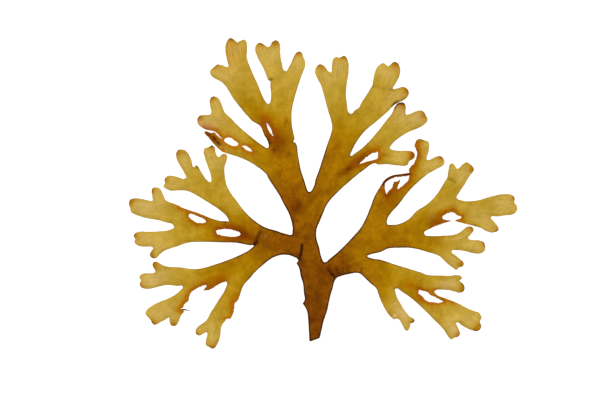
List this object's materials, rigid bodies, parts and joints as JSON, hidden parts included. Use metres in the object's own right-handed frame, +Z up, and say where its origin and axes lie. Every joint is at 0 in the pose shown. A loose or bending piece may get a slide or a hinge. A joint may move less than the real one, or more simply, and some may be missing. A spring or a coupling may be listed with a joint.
{
  "type": "forkweed frond",
  "caption": "Flat brown forkweed frond, cut at its stalk, that forks again and again into thin ribbons with notched tips and torn holes, lying spread out.",
  "frame": {"origin": "middle of the frond's bounding box, on the surface it lies on", "axes": "+Z up out of the surface, +Y from the cut stalk towards the upper tips, +X to the right seen from above"},
  "size_m": [0.1292, 0.1034, 0.0032],
  "materials": {
    "weed_brown": "wet semi-gloss, brown at the stalk and olive gold towards the tips"
  },
  "bodies": {
    "root": {"frond": "weed_brown"}
  },
  "joints": []
}
